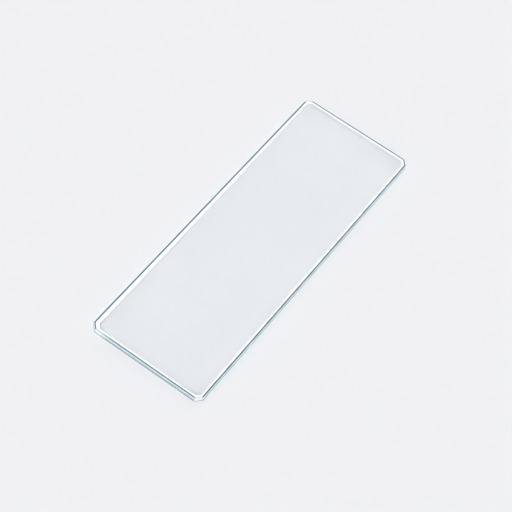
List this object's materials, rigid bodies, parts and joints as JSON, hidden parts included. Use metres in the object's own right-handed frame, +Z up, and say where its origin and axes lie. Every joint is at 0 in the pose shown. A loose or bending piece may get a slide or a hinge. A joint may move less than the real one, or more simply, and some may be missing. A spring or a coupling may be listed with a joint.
{
  "type": "microscope slide",
  "caption": "Thin oblong plate of clear glass with clipped corners and a ground, bevelled rim. It carries a specimen on a microscope stage.",
  "frame": {"origin": "centre of the underside, on the surface that the slide lies on", "axes": "+X along the slide's length, +Y across its width, +Z up through the glass"},
  "size_m": [0.076, 0.026, 0.0012],
  "materials": {
    "glass": "polished clear soda-lime glass with a very faint blue-green tint, rim and bevels ground smooth"
  },
  "bodies": {
    "root": {"slide": "glass"}
  },
  "joints": []
}
